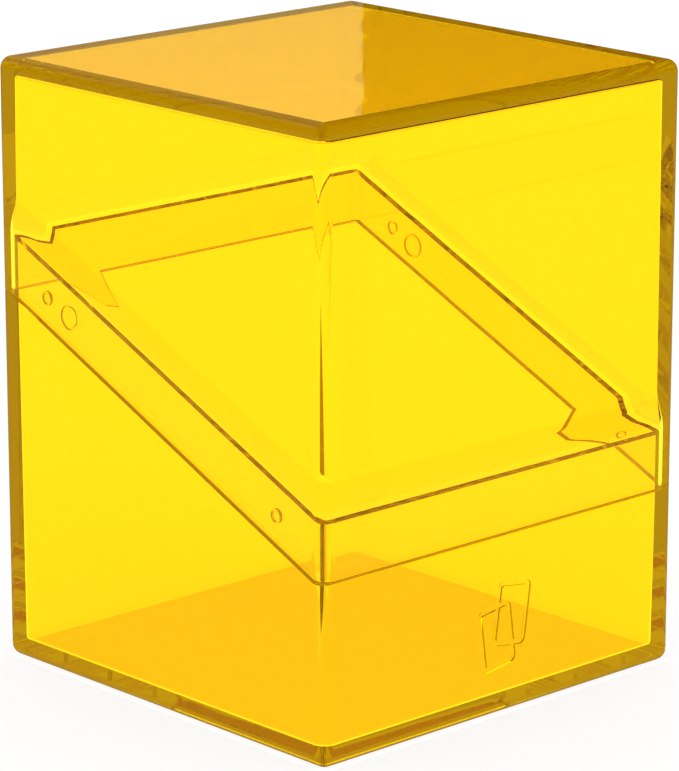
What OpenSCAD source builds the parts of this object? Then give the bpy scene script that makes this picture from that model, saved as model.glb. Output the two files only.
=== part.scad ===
// Two-piece deck box for a deck of sleeved trading cards.
// A tray (base) with a raised locating lip and a lift-off cover (lid) meet on a seam that
// climbs from low at the front to high at the back. X is width, -Y is the front, +Z is up.
// The origin is the centre of the bottom face. All sizes are in millimetres.

/* [Box] */
// Outside width, side to side
box_w = 76; // [60:0.5:110]
// Outside depth, front to back
box_d = 75; // [55:0.5:110]
// Outside height with the lid on
box_h = 98; // [85:0.5:130]
// Radius of every outside edge
edge_r = 1.95; // [1:0.05:2.4]
// Thickness of the walls, floor and top
wall = 2.85; // [2.5:0.05:4]
// Radius of the inside corners
inner_r = 0.6; // [0.3:0.05:1.5]

/* [Seam] */
// Height of the seam along the front wall
seam_front = 29.0; // [20:0.5:40]
// Height of the seam along the back wall
seam_back = 60.5; // [45:0.5:70]
// Length of level seam at each end of a side wall
seam_level = 2.2; // [2:0.1:2.5]
// Gap between the lid's rim and the base's shoulder
seam_gap = 0.1; // [0.05:0.05:0.3]

/* [Lip] */
// Height of the base's lip above the seam
lip_h = 9; // [5:0.5:12]
// Thickness of the lid's skirt outside the lip
skirt_t = 1.35; // [1.1:0.05:1.6]
// Clearance between lip and skirt
lip_gap = 0.2; // [0.15:0.05:0.3]
// Clear height above the lip, inside the skirt
lip_head = 0.4; // [0.3:0.1:1]
// Height of the slope from the skirt back to the full wall
slope_h = 6.8; // [3:0.1:8]
// Radius of the lip's outside corners
lip_r = 1.6; // [0.6:0.1:2]

/* [Snaps] */
// Diameter of the snap bumps on the lip
snap_d = 2.3; // [1.5:0.1:4]
// Height of the snap bumps, less than the clearance
snap_h = 0.12; // [0.05:0.01:0.14]
// Depth of the snap dimples in the skirt
dimple_h = 0.3; // [0.2:0.05:0.5]
// Distance of the snaps from the middle of a side wall
snap_y = 26.5; // [10:0.5:28]
// Height of the snaps above the seam
snap_z = 4.4; // [3:0.1:6]
// Diameter of the larger moulded disc beside the rear snap
disc_d = 4; // [3:0.1:5]
// Depth of the larger disc
disc_h = 0.3; // [0.1:0.05:0.4]
// Distance of the larger disc from the middle of a side wall
disc_y = 21.5; // [10:0.5:24]

/* [Motif] */
// Width of one of the two engraved card outlines
card_w = 7.2; // [4:0.1:9]
// Height of one card outline
card_h = 10.4; // [6:0.1:12]
// Width of the engraved line
groove_w = 0.9; // [0.4:0.1:1.2]
// Depth of the engraved line
groove_h = 0.35; // [0.2:0.05:0.6]
// Centre of the motif, across from the middle of the front
motif_x = 0; // [-15:0.5:15]
// Height of the motif's centre
motif_z = 14.5; // [12:0.1:18]

/* [Hidden] */
$fn = 48;
eps = 0.05;
half_w = box_w / 2;
half_d = box_d / 2;
big = 2 * box_h;
// the seam's sloping stretch, on the side walls
slope_run = box_d - 2 * seam_level;
slope_rise = seam_back - seam_front;
seam_angle = atan2(slope_rise, slope_run);
seam_mid = (seam_front + seam_back) / 2;
// the lip's outside face and the skirt's inside face, measured in from the outside
lip_inset = skirt_t + lip_gap;
skirt_top = lip_h + lip_head;
// the two cards of the motif: corner radius, tilt and distance from the motif's centre
card_r = 1.2;
card_tilt = 8;
card_shift = 1.6;

// A rectangle with rounded corners, centred on the origin.
module round_rect(w, d, r) {
    square([w, d - 2 * r], center = true);
    square([w - 2 * r, d], center = true);
    for (x = [-1, 1], y = [-1, 1]) {
        translate([x * (w / 2 - r), y * (d / 2 - r)]) circle(r);
    }
}

// A box rounded on all its edges: three rounded prisms, one along each axis, intersected.
module round_box(w, d, h, r) {
    intersection() {
        translate([0, 0, -h / 2]) linear_extrude(h) round_rect(w, d, r);
        rotate([90, 0, 0]) translate([0, 0, -d / 2]) linear_extrude(d) round_rect(w, h, r);
        rotate([90, 0, 90]) translate([0, 0, -w / 2]) linear_extrude(w) round_rect(d, h, r);
    }
}

module outside() {
    translate([0, 0, box_h / 2]) round_box(box_w, box_d, box_h, edge_r);
}

// The room for the cards, inside the full wall on all six sides.
module card_room() {
    translate([0, 0, box_h / 2])
        round_box(box_w - 2 * wall, box_d - 2 * wall, box_h - 2 * wall, inner_r);
}

// An upright prism, set in from the outside by one distance on all four sides.
module column(inset, r) {
    linear_extrude(box_h) round_rect(box_w - 2 * inset, box_d - 2 * inset, r);
}

// Everything under the seam when the seam is raised by rise.
module under_seam(rise) {
    rotate([90, 0, 90]) translate([0, 0, -box_w]) linear_extrude(2 * box_w) polygon([
        [-big, -big],
        [-big, seam_front + rise],
        [-half_d + seam_level, seam_front + rise],
        [half_d - seam_level, seam_back + rise],
        [big, seam_back + rise],
        [big, -big]
    ]);
}

// Puts a child in the frame of the sloping seam: Y runs up the slope and Z is square to it.
module on_seam() {
    translate([0, 0, seam_mid]) rotate([seam_angle, 0, 0]) children();
}

// The hollow between the two side walls: wide beside the lip, then sloping in to the full wall.
module side_to_side() {
    top = skirt_top * cos(seam_angle);
    rise = slope_h * cos(seam_angle);
    wide = half_w - skirt_t;
    narrow = half_w - wall;
    on_seam() rotate([90, 0, 0]) translate([0, 0, -big / 2]) linear_extrude(big) polygon([
        [-wide, -big / 2],
        [-wide, top],
        [-narrow, top + rise],
        [narrow, top + rise],
        [wide, top],
        [wide, -big / 2]
    ]);
}

// The hollow between the front and back walls, shaped in the same way.
module front_to_back() {
    wide = half_d - skirt_t;
    narrow = half_d - wall;
    low = seam_front + skirt_top;
    high = seam_back + skirt_top;
    rotate([90, 0, 90]) translate([0, 0, -box_w]) linear_extrude(2 * box_w) polygon([
        [-wide, 0],
        [-wide, low],
        [-narrow, low + slope_h],
        [-narrow, high + slope_h],
        [narrow, high + slope_h],
        [wide, high],
        [wide, 0]
    ]);
}

module skirt_room() {
    intersection() {
        column(skirt_t, lip_r + lip_gap);
        side_to_side();
        front_to_back();
    }
}

// Puts a child on a side wall's face, at a distance x from the middle and y along the wall,
// with its Z pointing outwards.
module on_side(side, x, y) {
    z = seam_mid + y * tan(seam_angle) + snap_z;
    translate([side * x, y, z]) rotate([0, side * 90, 0]) children();
}

module snaps(inset, h) {
    for (side = [-1, 1], y = [-snap_y, snap_y]) {
        on_side(side, half_w - inset - eps, y)
            cylinder(h = h + eps, r1 = snap_d / 2 + eps, r2 = snap_d / 2 - h);
    }
}

// One card outline, as a closed groove.
module card_outline() {
    difference() {
        round_rect(card_w, card_h, card_r);
        round_rect(card_w - 2 * groove_w, card_h - 2 * groove_w, card_r - groove_w + eps);
    }
}

// Two overlapping card outlines, the rear one hidden behind the front one.
module card_motif() {
    translate([-card_shift, -card_shift]) rotate(card_tilt) card_outline();
    difference() {
        translate([card_shift, card_shift]) rotate(-card_tilt) card_outline();
        translate([-card_shift, -card_shift]) rotate(card_tilt) round_rect(card_w + 1, card_h + 1, card_r);
    }
}

module engraving() {
    translate([motif_x, -half_d + groove_h, motif_z]) rotate([90, 0, 0])
        linear_extrude(groove_h + eps) card_motif();
}

module base() {
    color([1.0, 0.80, 0.05, 0.6]) {
        difference() {
            union() {
                intersection() {
                    outside();
                    under_seam(0);
                }
                intersection() {
                    translate([0, 0, wall]) column(lip_inset, lip_r);
                    under_seam(lip_h);
                }
                snaps(lip_inset, snap_h);
            }
            card_room();
            for (side = [-1, 1]) {
                on_side(side, half_w - lip_inset - disc_h, disc_y)
                    cylinder(h = disc_h + eps, r1 = disc_d / 2 - disc_h, r2 = disc_d / 2 + eps);
            }
            engraving();
        }
    }
}

module lid() {
    color([1.0, 0.84, 0.10, 0.6]) {
        difference() {
            outside();
            under_seam(seam_gap);
            card_room();
            skirt_room();
            snaps(skirt_t, dimple_h);
        }
    }
}

base();
lid();
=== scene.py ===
"""Looks of the card deck box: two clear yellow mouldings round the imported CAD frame.

The base is a tray with a raised lip. The lid lifts off it, and its thin skirt goes round the lip.
The two stand on a pale floor in a plain studio.
"""

import math

import bmesh
import bpy
from mathutils import Matrix, Vector


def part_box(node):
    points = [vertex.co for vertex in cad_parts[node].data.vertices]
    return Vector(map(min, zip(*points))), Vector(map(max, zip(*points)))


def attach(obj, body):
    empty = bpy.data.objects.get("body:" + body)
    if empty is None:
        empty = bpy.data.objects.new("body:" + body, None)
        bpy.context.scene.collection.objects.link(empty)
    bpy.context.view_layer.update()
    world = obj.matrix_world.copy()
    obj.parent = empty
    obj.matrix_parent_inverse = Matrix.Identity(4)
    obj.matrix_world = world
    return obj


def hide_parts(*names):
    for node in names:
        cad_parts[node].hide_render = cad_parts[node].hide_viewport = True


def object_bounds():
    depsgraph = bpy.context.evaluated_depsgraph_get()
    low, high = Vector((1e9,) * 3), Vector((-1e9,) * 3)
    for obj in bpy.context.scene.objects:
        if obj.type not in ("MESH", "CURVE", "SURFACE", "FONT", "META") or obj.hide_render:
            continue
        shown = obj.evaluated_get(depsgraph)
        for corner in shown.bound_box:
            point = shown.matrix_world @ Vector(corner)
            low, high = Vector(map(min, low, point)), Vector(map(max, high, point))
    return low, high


MM = 0.001
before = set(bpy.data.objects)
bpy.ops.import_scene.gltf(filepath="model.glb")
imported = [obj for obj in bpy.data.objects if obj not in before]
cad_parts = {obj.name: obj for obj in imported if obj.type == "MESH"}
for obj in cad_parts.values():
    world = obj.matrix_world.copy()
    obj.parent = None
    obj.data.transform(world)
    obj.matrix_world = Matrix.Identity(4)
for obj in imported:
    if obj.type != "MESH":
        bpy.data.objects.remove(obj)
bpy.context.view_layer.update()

# ---- Sizes in millimetres: the outside and the seam's heights come from the frame ---------------

BOX_HIGH = Vector(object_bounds()[1]) / MM
LID_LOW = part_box("lid")[0] / MM
BASE_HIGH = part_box("base")[1] / MM

HALF_W = BOX_HIGH.x
HALF_D = BOX_HIGH.y
HEIGHT = BOX_HIGH.z
# Radius of the outside edges, thickness of the walls
EDGE_R = 1.95
WALL = 2.85

# Lip and skirt: the lip's outside is set in by the skirt's thickness and the clearance
LIP_H = 9.0
SKIRT_T = 1.35
LIP_GAP = 0.2
LIP_INSET = SKIRT_T + LIP_GAP
# Clear height over the lip, and the slope above it: radius and steepest angle of its two curves
LIP_HEAD = 0.4
SLOPE_R = 7.6
SLOPE_ANGLE = 20.5

# Seam: level along the front and the back, and for a short stretch at each end of the side walls
SEAM_GAP = 0.1
SEAM_LEVEL = 2.2
SEAM_FRONT = LID_LOW.z - SEAM_GAP
SEAM_BACK = BASE_HIGH.z - LIP_H
SEAM_TURN = HALF_D - SEAM_LEVEL
# Least distance between the seam's bend and the start of a rounded corner
BEND_ROOM = 0.25

# Corner radii: the lip's and skirt's outside, the sharp inside, and the inside at floor and top
LIP_CORNER_R = 1.6
SKIRT_CORNER_R = LIP_CORNER_R + LIP_GAP
SHARP_R = 0.03
FLOOR_CORNER_R = 0.9
INNER_R = 0.6
# Small radii: along both rims of the seam, and along the top of the lip
RIM_R = 0.12
LIP_R = 0.12

ARC_STEPS = 10
SLOPE_STEPS = 8
RIM_STEPS = 4
LIP_STEPS = 5
INNER_STEPS = 6
# Points closer than this, in metres, are one point
MERGE_WITHIN = 1e-7

# Snaps and moulded discs on the side walls, each a low round step with a narrow rim
SNAP_Y = 26.5
SNAP_Z = 4.4
SNAP_R = 1.15
SNAP_H = 0.12
DIMPLE_H = 0.3
DISC_Y = 21.5
DISC_R = 2.0
DISC_H = 0.3
STEP_H = 0.08
STEP_RIM = 0.34
STEP_SLANT = 0.06
# How far a mark's solid reaches past the face that it stands on
ROOT = 0.05
TURN_STEPS = 48

# Engraved motif of two overlapping cards, in the middle of the front
MOTIF_Z = 14.5
CARD_W = 7.2
CARD_H = 10.4
CARD_R = 1.2
CARD_STEPS = 6
CARD_TILT = math.radians(8)
CARD_SHIFT = 1.6
GROOVE_W = 0.9
GROOVE_H = 0.3
GROOVE_SLANT = 0.08
GROOVE_LEAST_R = 0.15

# ---- Rings and lofts ---------------------------------------------------------------------------


def seam_height(y):
    """Height of the seam at depth y: level at both ends of a side wall and sloping between."""
    share = (min(max(y, -SEAM_TURN), SEAM_TURN) + SEAM_TURN) / (2 * SEAM_TURN)
    return SEAM_FRONT + share * (SEAM_BACK - SEAM_FRONT)


def corners(half_x, half_y, radius, steps):
    """Points of a rectangle's four rounded corners, anticlockwise from the front right."""
    rounds = []
    for quarter, (sx, sy) in enumerate(((1, -1), (1, 1), (-1, 1), (-1, -1))):
        points = []
        for step in range(steps + 1):
            angle = math.radians(90) * (quarter - 1 + step / steps)
            points.append((sx * half_x + radius * math.cos(angle), sy * half_y + radius * math.sin(angle)))
        rounds.append(points)
    return rounds


def ring(inset, height, follows_seam, radius):
    """Points of one closed ring round the box, anticlockwise from the right of the front wall."""
    half_x = HALF_W - inset - radius
    half_y = HALF_D - inset - radius
    turn = min(SEAM_TURN, half_y - BEND_ROOM)
    front_right, back_right, back_left, front_left = corners(half_x, half_y, radius, ARC_STEPS)
    right = [(half_x + radius, y) for y in (-turn, 0.0, turn)]
    left = [(-half_x - radius, y) for y in (turn, 0.0, -turn)]
    points = front_right + right + back_right + back_left + left + front_left
    return [(x, y, height + (seam_height(y) if follows_seam else 0.0)) for x, y in points]


def arc(centre, radius, start, end, steps=ARC_STEPS):
    """(inset, height) pairs along an arc, with angles in degrees in the inset and height plane."""
    pairs = []
    for step in range(steps + 1):
        angle = math.radians(start + (end - start) * step / steps)
        pairs.append((centre[0] + radius * math.cos(angle), centre[1] + radius * math.sin(angle)))
    return pairs


def loft(name, rows):
    """A closed mesh through rings, each from one row of ring's own arguments."""
    mesh = bmesh.new()
    rings = [[mesh.verts.new(Vector(p) * MM) for p in ring(*row)] for row in rows]
    count = len(rings[0])
    for low, high in zip(rings, rings[1:]):
        for i in range(count):
            j = (i + 1) % count
            mesh.faces.new((low[i], low[j], high[j], high[i]))
    mesh.faces.new(list(reversed(rings[0])))
    mesh.faces.new(rings[-1])
    bmesh.ops.remove_doubles(mesh, verts=mesh.verts, dist=MERGE_WITHIN)
    bmesh.ops.recalc_face_normals(mesh, faces=mesh.faces)
    return to_object(name, mesh)


def to_object(name, mesh):
    data = bpy.data.meshes.new(name)
    mesh.to_mesh(data)
    mesh.free()
    piece = bpy.data.objects.new(name, data)
    bpy.context.scene.collection.objects.link(piece)
    return piece


def stations(pairs, follows_seam, corner_r=EDGE_R, corner_inset=0.0):
    """Rows for loft whose corners share a centre with a corner of radius corner_r at corner_inset."""
    rows = []
    for inset, height in pairs:
        rows.append((inset, height, follows_seam, max(corner_r + corner_inset - inset, 0.0)))
    return rows


# ---- The two mouldings -------------------------------------------------------------------------


def base_shell():
    """Floor, walls and lip, from the middle of the underside out and back in to the floor."""
    shoulder = arc((LIP_INSET - RIM_R, RIM_R), RIM_R, 270, 360, RIM_STEPS)
    lip_outside = arc((LIP_INSET + LIP_R, LIP_H - LIP_R), LIP_R, 180, 90, LIP_STEPS)
    lip_inside = arc((WALL - LIP_R, LIP_H - LIP_R), LIP_R, 90, 0, LIP_STEPS)
    floor_edge = arc((WALL + INNER_R, WALL + INNER_R), INNER_R, 180, 270, INNER_STEPS)
    rings = stations(arc((EDGE_R, EDGE_R), EDGE_R, 270, 180), False)
    rings += stations(arc((RIM_R, -RIM_R), RIM_R, 180, 90, RIM_STEPS), True)
    rings += stations(shoulder + lip_outside, True, LIP_CORNER_R, LIP_INSET)
    rings += stations(lip_inside + [(WALL, 0.0)], True, SHARP_R, WALL)
    rings += stations(floor_edge, False, FLOOR_CORNER_R, WALL)
    return loft("base_shell", rings)


def lid_shell():
    """Top, walls and skirt, from the middle of the top out, down, and back up inside."""
    rings = stations(arc((EDGE_R, HEIGHT - EDGE_R), EDGE_R, 90, 180), False)
    rings += stations(arc((RIM_R, SEAM_GAP + RIM_R), RIM_R, 180, 270, RIM_STEPS), True)
    rim_inside = arc((SKIRT_T - RIM_R, SEAM_GAP + RIM_R), RIM_R, 270, 360, RIM_STEPS)
    rings += stations(rim_inside, True, SKIRT_CORNER_R, SKIRT_T)
    for inset, height in slope():
        share = (inset - SKIRT_T) / (WALL - SKIRT_T)
        rings += [(inset, height, True, SKIRT_CORNER_R + share * (SHARP_R - SKIRT_CORNER_R))]
    top_edge = arc((WALL + INNER_R, HEIGHT - WALL - INNER_R), INNER_R, 180, 90, INNER_STEPS)
    rings += stations(top_edge, False, INNER_R, WALL)
    return loft("lid_shell", rings)


def slope():
    """The slope from the skirt in to the full wall: a curve, a straight stretch and a curve back."""
    angle = math.radians(SLOPE_ANGLE)
    straight_in = WALL - SKIRT_T - 2 * SLOPE_R * (1 - math.cos(angle))
    low = LIP_H + LIP_HEAD
    high = low + 2 * SLOPE_R * math.sin(angle) + straight_in / math.tan(angle)
    lower = arc((SKIRT_T + SLOPE_R, low), SLOPE_R, 180, 180 - SLOPE_ANGLE, SLOPE_STEPS)
    upper = arc((WALL - SLOPE_R, high), SLOPE_R, -SLOPE_ANGLE, 0, SLOPE_STEPS)
    return lower + upper


# ---- Marks cut into or standing on the walls ---------------------------------------------------


def lathe(name, profile, place):
    """A closed turned solid from (radius, height) pairs, on the axis of a placing matrix."""
    mesh = bmesh.new()
    turn = [2 * math.pi * k / TURN_STEPS for k in range(TURN_STEPS)]
    rings = []
    for radius, height in profile:
        angles = turn if radius else [0.0]
        spots = [(radius * MM * math.cos(a), radius * MM * math.sin(a), height * MM) for a in angles]
        rings.append([mesh.verts.new(spot) for spot in spots])
    for low, high in zip(rings, rings[1:]):
        for k in range(TURN_STEPS):
            j = (k + 1) % TURN_STEPS
            if len(low) == 1:
                mesh.faces.new((low[0], high[j], high[k]))
            elif len(high) == 1:
                mesh.faces.new((low[k], low[j], high[0]))
            else:
                mesh.faces.new((low[k], low[j], high[j], high[k]))
    bmesh.ops.recalc_face_normals(mesh, faces=mesh.faces)
    piece = to_object(name, mesh)
    piece.data.transform(place)
    return piece


def on_side(side, x, y):
    """Placing matrix on a side wall's face, with Z pointing outwards."""
    spot = Vector((side * x, y, seam_height(y) + SNAP_Z)) * MM
    return Matrix.Translation(spot) @ Matrix.Rotation(side * math.pi / 2, 4, "Y")


def rimmed_step(radius, rim_h):
    """Profile of a low round step with a higher narrow rim, starting a little behind its face."""
    return [
        (0.0, -ROOT),
        (radius, -ROOT),
        (radius, 0.0),
        (radius - STEP_SLANT, rim_h),
        (radius - STEP_RIM + STEP_SLANT, rim_h),
        (radius - STEP_RIM, STEP_H),
        (0.0, STEP_H),
    ]


def combine(piece, tool, operation):
    """Joins or cuts a tool solid and applies the result to the piece's mesh."""
    step = piece.modifiers.new("combine", "BOOLEAN")
    step.operation = operation
    step.solver = "EXACT"
    step.object = tool
    apply_modifiers(piece)
    bpy.data.objects.remove(tool)


def apply_modifiers(piece):
    graph = bpy.context.evaluated_depsgraph_get()
    data = bpy.data.meshes.new_from_object(piece.evaluated_get(graph))
    piece.modifiers.clear()
    piece.data = data


def card_outline(inset):
    """Outline of a card, set in by one distance, anticlockwise."""
    radius = max(CARD_R - inset, GROOVE_LEAST_R)
    half_x = (CARD_W - 2 * inset) / 2 - radius
    half_y = (CARD_H - 2 * inset) / 2 - radius
    return [point for corner in corners(half_x, half_y, radius, CARD_STEPS) for point in corner]


def groove_cutter(name, tilt, shift):
    """The solid that cuts a groove along a card's outline, wider at the face than at its bottom."""
    levels = (
        (0.0, GROOVE_H),
        (GROOVE_SLANT, -GROOVE_H),
        (GROOVE_W - GROOVE_SLANT, -GROOVE_H),
        (GROOVE_W, GROOVE_H),
    )
    mesh = bmesh.new()
    rings = [[mesh.verts.new((x, y, level)) for x, y in card_outline(inset)] for inset, level in levels]
    count = len(rings[0])
    for low, high in zip(rings, rings[1:] + rings[:1]):
        for i in range(count):
            j = (i + 1) % count
            mesh.faces.new((low[i], low[j], high[j], high[i]))
    bmesh.ops.recalc_face_normals(mesh, faces=mesh.faces)
    piece = to_object(name, mesh)
    to_front = Matrix.Translation(Vector((0, -HALF_D, MOTIF_Z)) * MM) @ Matrix.Rotation(math.pi / 2, 4, "X")
    aside = Matrix.Translation((shift * MM, shift * MM, 0))
    piece.data.transform(to_front @ aside @ Matrix.Rotation(tilt, 4, "Z") @ Matrix.Scale(MM, 4))
    return piece


def add_base_marks(piece):
    inwards = [(radius, -height) for radius, height in rimmed_step(DISC_R, DISC_H)]
    for side in (-1, 1):
        for y in (-SNAP_Y, SNAP_Y):
            bump = lathe("bump", rimmed_step(SNAP_R, SNAP_H), on_side(side, HALF_W - LIP_INSET, y))
            combine(piece, bump, "UNION")
        disc = lathe("disc", inwards, on_side(side, HALF_W - LIP_INSET, DISC_Y))
        combine(piece, disc, "DIFFERENCE")
    combine(piece, groove_cutter("front_card", CARD_TILT, -CARD_SHIFT), "DIFFERENCE")
    combine(piece, groove_cutter("rear_card", -CARD_TILT, CARD_SHIFT), "DIFFERENCE")


def add_lid_marks(piece):
    for side in (-1, 1):
        for y in (-SNAP_Y, SNAP_Y):
            dimple = lathe("dimple", rimmed_step(SNAP_R, DIMPLE_H), on_side(side, HALF_W - SKIRT_T, y))
            combine(piece, dimple, "DIFFERENCE")


def smooth(piece):
    """Smooth fillets between exactly flat faces: sharp creases stay and large faces set the normals."""
    piece.data.shade_smooth()
    piece.data.set_sharp_from_angle(angle=CREASE_ANGLE)
    step = piece.modifiers.new("flat_faces", "WEIGHTED_NORMAL")
    step.keep_sharp = True
    step.weight = MOST_FACE_WEIGHT
    apply_modifiers(piece)


# ---- Materials ---------------------------------------------------------------------------------

CREASE_ANGLE = math.radians(32)
MOST_FACE_WEIGHT = 100
IOR = 1.49
# Tint for crossing a wall, the weaker tint of the faces between lip and skirt, and absorption
TINT = (1.0, 0.71, 0.18)
GAP_TINT = (1.0, 0.94, 0.30)
ABSORB_PER_MM = Vector((0.0014, 0.0020, 0.40))
DENSITY = max(ABSORB_PER_MM) / MM
ABSORBS = tuple(1 - a / MM / DENSITY for a in ABSORB_PER_MM)
# Faint ripple in the surface, and faint patches of less than perfect polish
RIPPLE_SCALE = 60.0
RIPPLE_DETAIL = 1.0
RIPPLE_HEIGHT = 0.00002
HAZE_SCALE = 90.0
HAZE_DETAIL = 4.0
HAZE_FROM = 0.45
HAZE_TO = 0.75
HAZE_MOST = 0.02
# Reach of the gap's faces: to either side of skirt and lip, under the seam and over the lip
GAP_OUTWARDS = 0.35
GAP_INWARDS = 0.25
GAP_UNDER = 0.2
GAP_OVER = 0.5


def clear_plastic(name):
    """Clear moulded plastic: tinted where light crosses the face and along its way through the wall."""
    material = bpy.data.materials.new(name)
    material.use_nodes = True
    nodes, links = material.node_tree.nodes, material.node_tree.links
    shader = nodes["Principled BSDF"]
    gap = nodes.new("ShaderNodeVertexColor")
    gap.layer_name = "gap"
    shade = nodes.new("ShaderNodeMix")
    shade.data_type = "RGBA"
    shade.inputs["A"].default_value = (*TINT, 1)
    shade.inputs["B"].default_value = (*GAP_TINT, 1)
    links.new(gap.outputs["Color"], shade.inputs["Factor"])
    links.new(shade.outputs["Result"], shader.inputs["Base Color"])
    shader.inputs["Transmission Weight"].default_value = 1.0
    shader.inputs["IOR"].default_value = IOR
    place = nodes.new("ShaderNodeTexCoord")
    ripple = nodes.new("ShaderNodeTexNoise")
    ripple.inputs["Scale"].default_value = RIPPLE_SCALE
    ripple.inputs["Detail"].default_value = RIPPLE_DETAIL
    links.new(place.outputs["Object"], ripple.inputs["Vector"])
    bump = nodes.new("ShaderNodeBump")
    bump.inputs["Strength"].default_value = 1.0
    bump.inputs["Distance"].default_value = RIPPLE_HEIGHT
    links.new(ripple.outputs["Fac"], bump.inputs["Height"])
    links.new(bump.outputs["Normal"], shader.inputs["Normal"])
    haze = nodes.new("ShaderNodeTexNoise")
    haze.inputs["Scale"].default_value = HAZE_SCALE
    haze.inputs["Detail"].default_value = HAZE_DETAIL
    links.new(place.outputs["Object"], haze.inputs["Vector"])
    polish = nodes.new("ShaderNodeMapRange")
    polish.inputs["From Min"].default_value = HAZE_FROM
    polish.inputs["From Max"].default_value = HAZE_TO
    polish.inputs["To Min"].default_value = 0.0
    polish.inputs["To Max"].default_value = HAZE_MOST
    links.new(haze.outputs["Fac"], polish.inputs["Value"])
    links.new(polish.outputs["Result"], shader.inputs["Roughness"])
    volume = nodes.new("ShaderNodeVolumeAbsorption")
    volume.inputs["Color"].default_value = (*ABSORBS, 1)
    volume.inputs["Density"].default_value = DENSITY
    links.new(volume.outputs[0], nodes["Material Output"].inputs["Volume"])
    return material


def mark_gap(piece):
    """Marks the faces in the narrow gap between lip and skirt, which take the weaker tint."""
    layer = piece.data.color_attributes.new("gap", "FLOAT_COLOR", "CORNER")
    for face in piece.data.polygons:
        x, y, z = face.center / MM
        inset = min(HALF_W - abs(x), HALF_D - abs(y))
        above = z - seam_height(y)
        beside = SKIRT_T - GAP_OUTWARDS < inset < LIP_INSET + GAP_INWARDS
        inside = beside and -GAP_UNDER < above < LIP_H + LIP_HEAD + GAP_OVER
        for corner in face.loop_indices:
            layer.data[corner].color = (1, 1, 1, 1) if inside else (0, 0, 0, 1)


base = base_shell()
lid = lid_shell()
add_base_marks(base)
add_lid_marks(lid)
for piece, body, slot in ((base, "base", "clear_yellow_base"), (lid, "lid", "clear_yellow_lid")):
    smooth(piece)
    piece.data.materials.clear()
    piece.data.materials.append(clear_plastic(slot))
    mark_gap(piece)
    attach(piece, body)
    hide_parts(body)

# ---- Studio ------------------------------------------------------------------------------------

FLOOR_SIZE = 40.0
# The floor lies a hair below the box's underside
FLOOR_DROP = 0.0001
FLOOR_ALBEDO = 0.20
FLOOR_GLOW = 1.30
SKY_LEVEL = 2.1
FLOOR_LEVEL = FLOOR_GLOW + FLOOR_ALBEDO * SKY_LEVEL
# The floor's share of its level for the camera, and for rays mirrored by the box's outside
SEEN_LEVEL = 0.61
MIRROR_LEVEL = 0.06
# Level and tone for rays led through a wall, and their level on the floor under the box, where the floor is
# painted brighter than elsewhere
LED_LEVEL = 0.66
LED_TINT = (1.0, 0.83, 0.50, 1.0)
UNDER_PAINTED_LEVEL = 1.0
# Painted light: the floor under the box is drawn brighter by this factor for all other rays
UNDER_PAINTED_LIFT = 1.09
# A pale panel behind the set, between two azimuths, and the dark beside it: levels seen mirrored by
# the outside of the box, and mirrored once inside a wall
PANEL_FROM = math.radians(46.64)
PANEL_TO = math.radians(120)
PANEL_LEVEL = 0.17
DARK_LEVEL = 0.005
PANEL_INNER = 1.25
DARK_INNER = 0.02
# Level of the sky above this height for rays mirrored deeper in the box
HIGH_FROM = math.sin(math.radians(9))
DEEP_LEVEL = 0.42


def feed(links, socket, value):
    """Sets a socket to a number, or links another node's output to it."""
    if isinstance(value, (int, float)):
        socket.default_value = value
    else:
        links.new(value, socket)


def math_node(nodes, links, operation, *values):
    node = nodes.new("ShaderNodeMath")
    node.operation = operation
    for socket, value in zip(node.inputs, values):
        feed(links, socket, value)
    return node.outputs[0]


def choose(nodes, links, factor, low, high):
    """A mix of two values: low where the factor is 0 and high where it is 1."""
    node = nodes.new("ShaderNodeMix")
    node.data_type = "FLOAT"
    feed(links, node.inputs["Factor"], factor)
    feed(links, node.inputs["A"], low)
    feed(links, node.inputs["B"], high)
    return node.outputs["Result"]


def tone_of(nodes, links, led):
    """White, or the warmer tone that light led through a wall takes on."""
    node = nodes.new("ShaderNodeMix")
    node.data_type = "RGBA"
    links.new(led, node.inputs["Factor"])
    node.inputs["A"].default_value = (1, 1, 1, 1)
    node.inputs["B"].default_value = LED_TINT
    return node.outputs["Result"]


def ray_kinds(nodes, links):
    """The light path's outputs, and two masks of 1 or 0: rays mirrored by the outside of the box,
    and rays led through a wall by two or more bounces. Depths are whole numbers, so each limit lies
    halfway between two of them."""
    path = nodes.new("ShaderNodeLightPath").outputs
    outside = math_node(nodes, links, "LESS_THAN", path["Transmission Depth"], 0.5)
    mirrored = math_node(nodes, links, "MULTIPLY", path["Is Reflection Ray"], path["Is Glossy Ray"])
    mirrored = math_node(nodes, links, "MULTIPLY", mirrored, outside)
    led = math_node(nodes, links, "GREATER_THAN", path["Glossy Depth"], 1.5)
    both = math_node(nodes, links, "MULTIPLY", led, mirrored)
    led = math_node(nodes, links, "SUBTRACT", led, both)
    return path, mirrored, led


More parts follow.
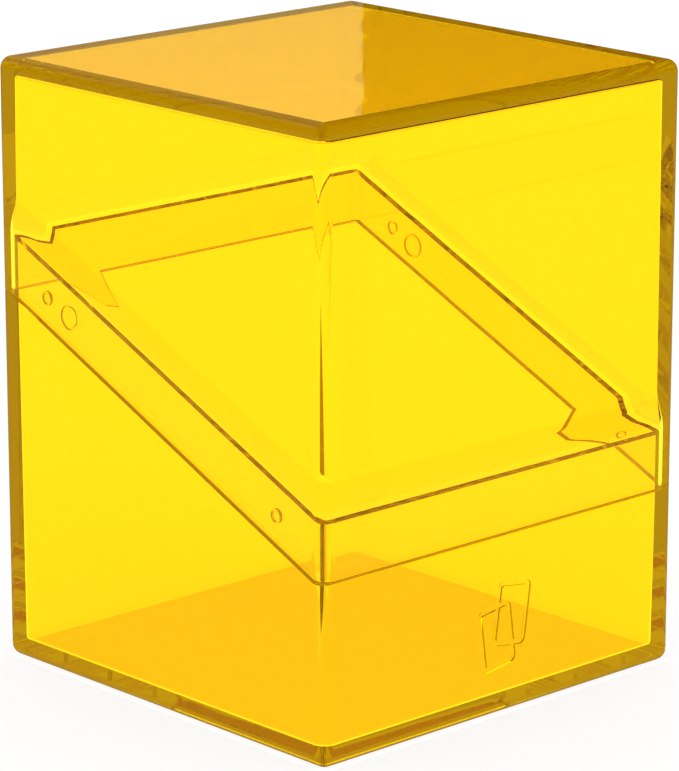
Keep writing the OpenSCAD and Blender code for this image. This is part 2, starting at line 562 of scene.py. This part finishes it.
def floor_material():
    material = bpy.data.materials.new("pale_floor")
    material.use_nodes = True
    nodes, links = material.node_tree.nodes, material.node_tree.links
    nodes.remove(nodes["Principled BSDF"])
    path, mirrored, led = ray_kinds(nodes, links)
    spot = nodes.new("ShaderNodeSeparateXYZ")
    links.new(nodes.new("ShaderNodeNewGeometry").outputs["Position"], spot.inputs[0])
    # Mask of the floor under the box, where light is painted brighter
    under_x = math_node(nodes, links, "COMPARE", spot.outputs["X"], 0.0, HALF_W * MM)
    under_y = math_node(nodes, links, "COMPARE", spot.outputs["Y"], 0.0, HALF_D * MM)
    under = math_node(nodes, links, "MULTIPLY", under_x, under_y)
    level = math_node(nodes, links, "MULTIPLY_ADD", path["Is Camera Ray"], SEEN_LEVEL - 1, 1)
    level = math_node(nodes, links, "MULTIPLY_ADD", mirrored, MIRROR_LEVEL - 1, level)
    # Painted light: the floor's glow and colour are raised under the box
    level = math_node(nodes, links, "MULTIPLY", level, choose(nodes, links, under, 1.0, UNDER_PAINTED_LIFT))
    # Painted light: led rays see the floor under the box at a higher level
    led_level = choose(nodes, links, under, LED_LEVEL / FLOOR_LEVEL, UNDER_PAINTED_LEVEL / FLOOR_LEVEL)
    level = choose(nodes, links, led, level, led_level)
    tone = tone_of(nodes, links, led)
    shade = nodes.new("ShaderNodeVectorMath")
    shade.operation = "SCALE"
    links.new(tone, shade.inputs[0])
    links.new(math_node(nodes, links, "MULTIPLY", level, FLOOR_ALBEDO), shade.inputs["Scale"])
    diffuse = nodes.new("ShaderNodeBsdfDiffuse")
    links.new(shade.outputs[0], diffuse.inputs["Color"])
    glow = nodes.new("ShaderNodeEmission")
    links.new(tone, glow.inputs["Color"])
    links.new(math_node(nodes, links, "MULTIPLY", level, FLOOR_GLOW), glow.inputs["Strength"])
    sum_of_both = nodes.new("ShaderNodeAddShader")
    links.new(diffuse.outputs[0], sum_of_both.inputs[0])
    links.new(glow.outputs[0], sum_of_both.inputs[1])
    links.new(sum_of_both.outputs[0], nodes["Material Output"].inputs["Surface"])
    return material


def studio_world():
    world = bpy.data.worlds.new("studio")
    world.use_nodes = True
    nodes, links = world.node_tree.nodes, world.node_tree.links
    path, mirrored, led = ray_kinds(nodes, links)
    toward = nodes.new("ShaderNodeTexCoord")
    axes = nodes.new("ShaderNodeSeparateXYZ")
    links.new(toward.outputs["Generated"], axes.inputs[0])
    azimuth = math_node(nodes, links, "ARCTAN2", axes.outputs["Y"], axes.outputs["X"])
    after = math_node(nodes, links, "GREATER_THAN", azimuth, PANEL_FROM)
    before = math_node(nodes, links, "LESS_THAN", azimuth, PANEL_TO)
    panel = math_node(nodes, links, "MULTIPLY", after, before)
    outer_level = choose(nodes, links, panel, DARK_LEVEL, PANEL_LEVEL)
    inner_level = choose(nodes, links, panel, DARK_INNER, PANEL_INNER)
    once = math_node(nodes, links, "LESS_THAN", path["Transmission Depth"], 2.5)
    reflected = choose(nodes, links, once, DEEP_LEVEL, inner_level)
    high = math_node(nodes, links, "GREATER_THAN", axes.outputs["Z"], HIGH_FROM)
    bounced = math_node(nodes, links, "GREATER_THAN", path["Glossy Depth"], 0.5)
    high = math_node(nodes, links, "MULTIPLY", high, bounced)
    lighting = math_node(nodes, links, "GREATER_THAN", path["Diffuse Depth"], 0.5)
    level = choose(nodes, links, high, FLOOR_LEVEL, reflected)
    level = choose(nodes, links, lighting, level, SKY_LEVEL)
    level = choose(nodes, links, path["Is Camera Ray"], level, 1.0)
    level = choose(nodes, links, led, level, LED_LEVEL)
    level = choose(nodes, links, mirrored, level, outer_level)
    links.new(level, nodes["Background"].inputs["Strength"])
    links.new(tone_of(nodes, links, led), nodes["Background"].inputs["Color"])
    return world


bpy.ops.mesh.primitive_plane_add(size=FLOOR_SIZE, location=(0, 0, -FLOOR_DROP))
floor = bpy.context.object
floor.name = "floor"
floor.data.materials.append(floor_material())
bpy.context.scene.world = studio_world()

# ---- Camera --------------------------------------------------------------------------------------

CAMERA_AT = Vector((-0.42931, -0.46019, 0.21594))
LOOKS_ALONG = Vector((0.65855, 0.70552, -0.26181))
SENSOR_HEIGHT = 36.0
LENS = 192.26
FAR_CLIP = 100
# Light is led a long way through the clear walls, so rays need many bounces
MOST_BOUNCES = 80

camera_data = bpy.data.cameras.new("camera")
camera_data.sensor_fit = "VERTICAL"
camera_data.sensor_height = SENSOR_HEIGHT
camera_data.lens = LENS
camera_data.clip_end = FAR_CLIP
camera = bpy.data.objects.new("camera", camera_data)
camera.location = CAMERA_AT
camera.rotation_euler = LOOKS_ALONG.to_track_quat("-Z", "Y").to_euler()
bpy.context.scene.collection.objects.link(camera)
bpy.context.scene.camera = camera

scene = bpy.context.scene
scene.view_settings.view_transform = "Standard"
scene.cycles.max_bounces = MOST_BOUNCES
scene.cycles.transmission_bounces = MOST_BOUNCES
scene.cycles.glossy_bounces = MOST_BOUNCES
scene.cycles.use_denoising = True
